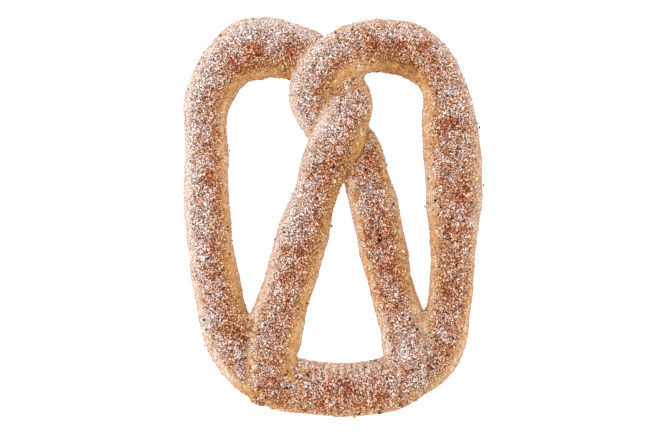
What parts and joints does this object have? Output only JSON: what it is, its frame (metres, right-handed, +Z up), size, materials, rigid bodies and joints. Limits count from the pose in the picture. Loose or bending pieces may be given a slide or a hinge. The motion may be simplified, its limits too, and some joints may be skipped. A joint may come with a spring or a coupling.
{
  "type": "soft pretzel",
  "caption": "Soft baked pretzel: a rope of dough looped, twisted over itself and pressed onto its own bottom bar, coated in cinnamon sugar, lying flat.",
  "frame": {"origin": "middle of the pretzel's bounding box on the surface it lies on", "axes": "+Z up, out of the surface it lies on; +Y from the bottom bar to the two shoulders; +X to the right as seen from above"},
  "size_m": [0.1232, 0.165, 0.0238],
  "materials": {
    "crust": "baked dough under a rough coat of cinnamon sugar"
  },
  "bodies": {
    "root": {"pretzel": "crust"}
  },
  "joints": []
}
